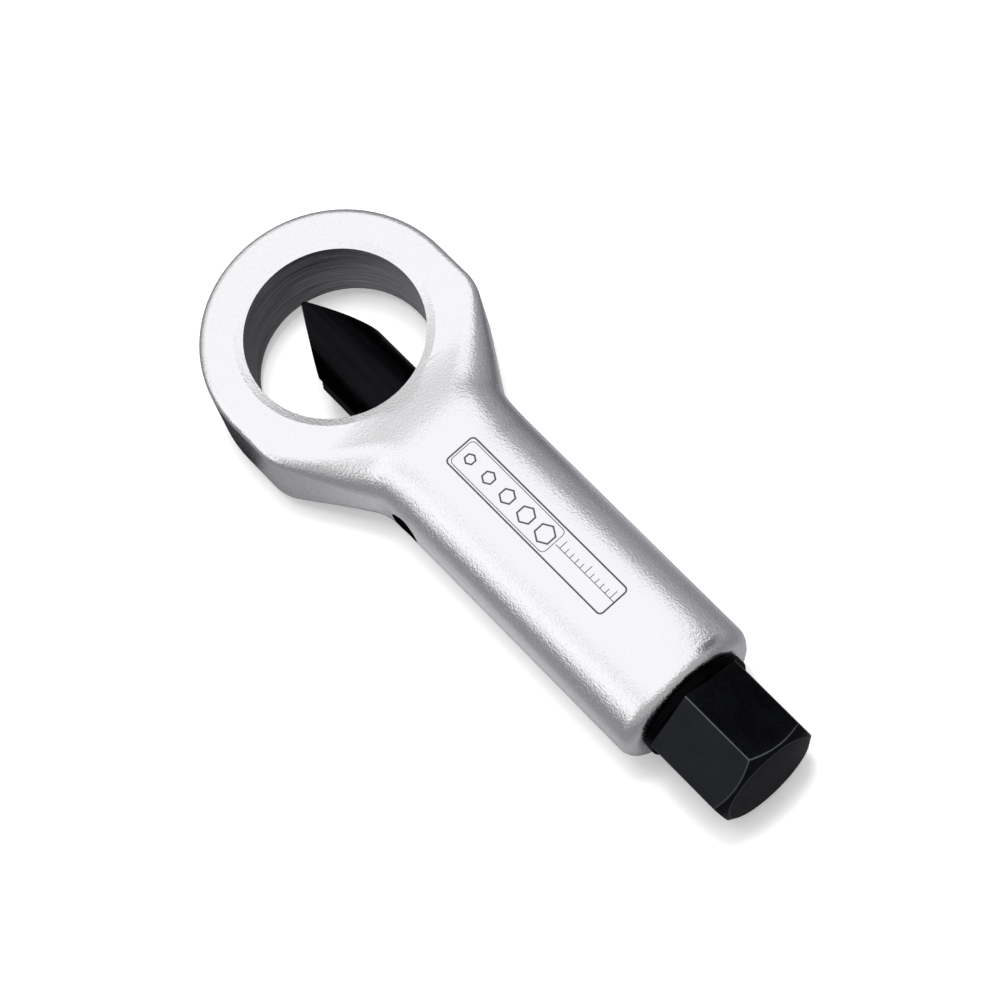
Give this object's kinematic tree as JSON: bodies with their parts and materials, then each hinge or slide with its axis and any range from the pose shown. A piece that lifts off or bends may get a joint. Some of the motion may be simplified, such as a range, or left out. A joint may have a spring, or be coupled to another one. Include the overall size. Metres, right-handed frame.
{
  "type": "nut splitter",
  "caption": "Hand nut splitter: a forged ring and shank with a wedge chisel that a hexagon-headed bolt drives across the ring to crack a seized nut.",
  "frame": {"origin": "centre of the ring's bore, half way through the ring", "axes": "+X along the shank to the hexagon, +Z along the axis of the ring's bore, upwards as the tool lies on its shank"},
  "size_m": [0.1273, 0.0462, 0.022],
  "materials": {
    "forged_body": "satin pearl chrome over a blasted forging",
    "black_steel": "black oxide on hardened steel",
    "bright_steel": "polished bearing steel"
  },
  "bodies": {
    "frame": {"body": "forged_body", "guide_screw": "black_steel"},
    "cutter": {"chisel": "black_steel", "thrust_ball": "bright_steel"},
    "drive_bolt": {"drive_bolt": "black_steel"}
  },
  "joints": [
    {"name": "cutter_slide", "type": "slide", "parent": "frame", "child": "cutter", "axis": [1, 0, 0], "range_m": [0, 0.024]},
    {"name": "bolt_turn", "type": "hinge", "parent": "cutter", "child": "drive_bolt", "pos_m": [0.095, 0, 0], "axis": [1, 0, 0], "range_deg": [0, 5760.1]}
  ],
  "couplings": [
    {"joint": "bolt_turn", "follows": "cutter_slide", "rad_per_m": 4188.8}
  ]
}
